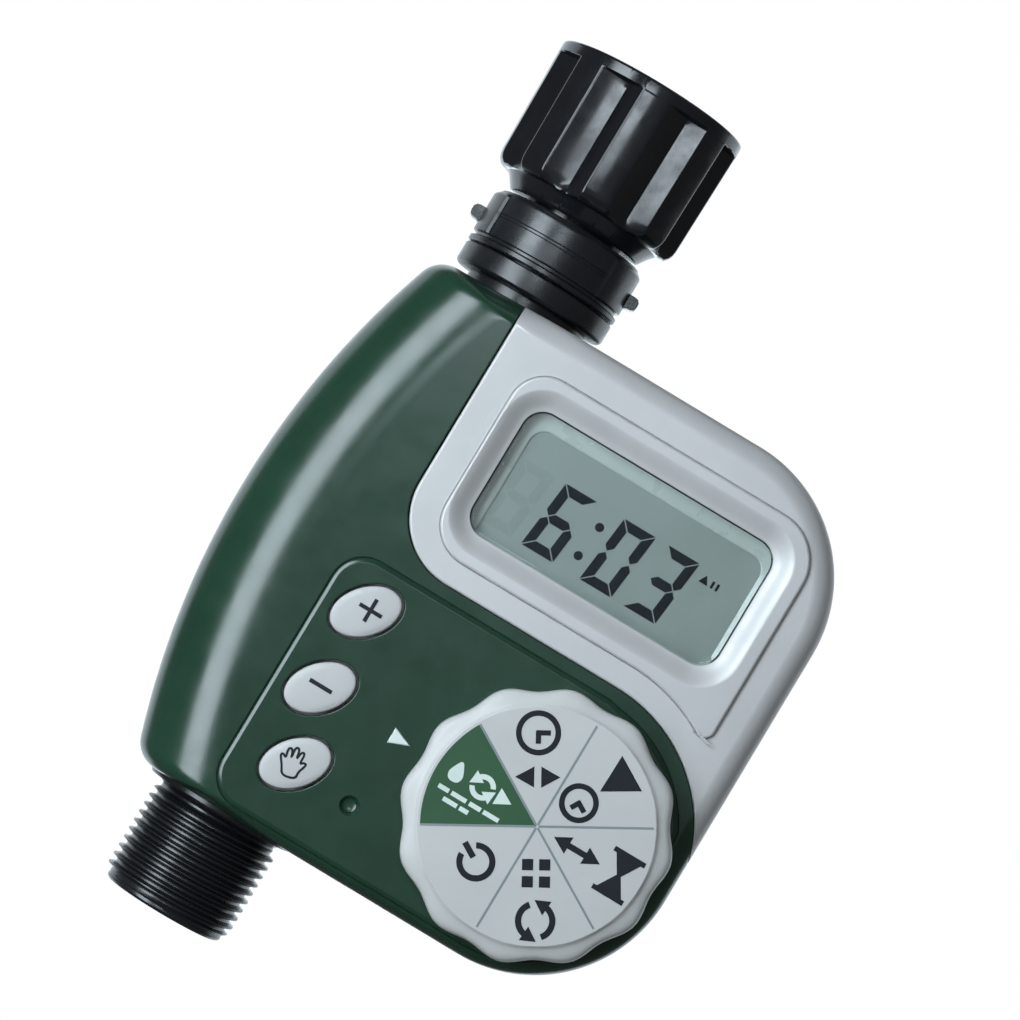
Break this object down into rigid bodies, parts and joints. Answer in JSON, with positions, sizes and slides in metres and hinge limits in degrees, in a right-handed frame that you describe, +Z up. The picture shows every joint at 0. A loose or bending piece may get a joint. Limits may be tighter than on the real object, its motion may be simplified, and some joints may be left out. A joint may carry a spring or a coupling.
{
  "type": "drip irrigation timer",
  "caption": "Single-outlet tap watering timer with a digital clock, a six-position selector dial, oval buttons, a swivel inlet nut and a threaded hose outlet.",
  "frame": {"origin": "centre of the inlet washer's top face, on the axis that the water runs along", "axes": "+Z up along the water's path from the outlet to the inlet, -Y out of the front with the dial and the display, +X to the right seen from the front"},
  "size_m": [0.1055, 0.067, 0.1786],
  "materials": {
    "green_shell": "satin, fine moulded texture",
    "silver_bezel": "satin silver-grey paint",
    "pale_dial": "satin",
    "pale_button": "soft matt",
    "clear_window": "clear",
    "lcd_glass": "glossy",
    "dark_inner_plastic": "matt",
    "circuit_board": "solder mask",
    "rubber": "matt",
    "steel": "plain",
    "copper": "plain",
    "coil_tape": "varnished winding",
    "cell_jacket": "printed sleeve",
    "wire_red": "insulation",
    "wire_black": "insulation",
    "black_fitting": "glossy black nylon",
    "strainer": "natural plastic"
  },
  "bodies": {
    "timer": {"front_cover": "green_shell", "rear_cover": "green_shell", "housing_gasket": "rubber", "housing_screws": "steel", "display_bezel": "silver_bezel", "display_window": "clear_window", "lcd_panel": "lcd_glass", "lcd_holder": "dark_inner_plastic", "lcd_connector": "rubber", "circuit_board": "circuit_board", "board_components": "dark_inner_plastic", "board_screws": "steel", "button_switches": "dark_inner_plastic", "button_mat": "rubber", "dial_seal": "rubber", "detent_spring": "steel", "contact_block": "dark_inner_plastic", "tray_contacts": "steel", "valve_body": "black_fitting", "retaining_collar": "black_fitting", "inlet_tailpiece": "black_fitting", "tailpiece_seal": "rubber", "inlet_washer": "rubber", "filter_screen": "strainer", "diaphragm": "rubber", "diaphragm_spring": "steel", "valve_bonnet": "black_fitting", "bonnet_screws": "steel", "solenoid_coil": "coil_tape", "solenoid_yoke": "steel", "plunger_spring": "steel", "solenoid_leads": "wire_red", "battery_leads": "wire_black"},
    "coupling_nut": {"coupling_nut": "black_fitting"},
    "selector_dial": {"selector_dial": "pale_dial", "dial_rotor": "dark_inner_plastic", "dial_wiper": "copper", "dial_screw": "steel"},
    "plus_button": {"plus_button": "pale_button"},
    "minus_button": {"minus_button": "pale_button"},
    "manual_button": {"manual_button": "pale_button"},
    "reset_button": {"reset_button": "green_shell"},
    "battery_tray": {"battery_tray": "green_shell", "aa_cells": "cell_jacket", "cell_springs": "steel", "contact_plates": "steel", "tray_seal": "rubber"},
    "diaphragm_plate": {"diaphragm_plate": "strainer"},
    "plunger": {"plunger": "steel"}
  },
  "joints": [
    {"name": "nut_spin", "type": "hinge", "parent": "timer", "child": "coupling_nut", "pos_m": [0, 0, 0], "axis": [0, 0, 1], "continuous": true},
    {"name": "dial_turn", "type": "hinge", "parent": "timer", "child": "selector_dial", "pos_m": [0.0506, -0.03, -0.114], "axis": [0, -1, 0], "continuous": true, "deforming": ["detent_spring"]},
    {"name": "plus_press", "type": "slide", "parent": "timer", "child": "plus_button", "axis": [0, 1, 0], "range_m": [0, 0.0009], "stiffness_N_per_m": 900, "springref_m": -0.0005, "deforming": ["button_mat"]},
    {"name": "minus_press", "type": "slide", "parent": "timer", "child": "minus_button", "axis": [0, 1, 0], "range_m": [0, 0.0009], "stiffness_N_per_m": 900, "springref_m": -0.0005, "deforming": ["button_mat"]},
    {"name": "manual_press", "type": "slide", "parent": "timer", "child": "manual_button", "axis": [0, 1, 0], "range_m": [0, 0.0009], "stiffness_N_per_m": 900, "springref_m": -0.0005, "deforming": ["button_mat"]},
    {"name": "reset_press", "type": "slide", "parent": "timer", "child": "reset_button", "axis": [0, 1, 0], "range_m": [0, 0.0005], "stiffness_N_per_m": 900, "springref_m": -0.0005},
    {"name": "tray_slide", "type": "slide", "parent": "timer", "child": "battery_tray", "axis": [1, 0, 0], "range_m": [0, 0.06]},
    {"name": "diaphragm_lift", "type": "slide", "parent": "timer", "child": "diaphragm_plate", "axis": [1, 0, 0], "range_m": [0, 0.0023], "stiffness_N_per_m": 400, "springref_m": -0.002, "deforming": ["diaphragm", "diaphragm_spring"]},
    {"name": "plunger_lift", "type": "slide", "parent": "timer", "child": "plunger", "axis": [1, 0, 0], "range_m": [0, 0.002], "stiffness_N_per_m": 300, "springref_m": -0.002, "deforming": ["plunger_spring"]}
  ]
}
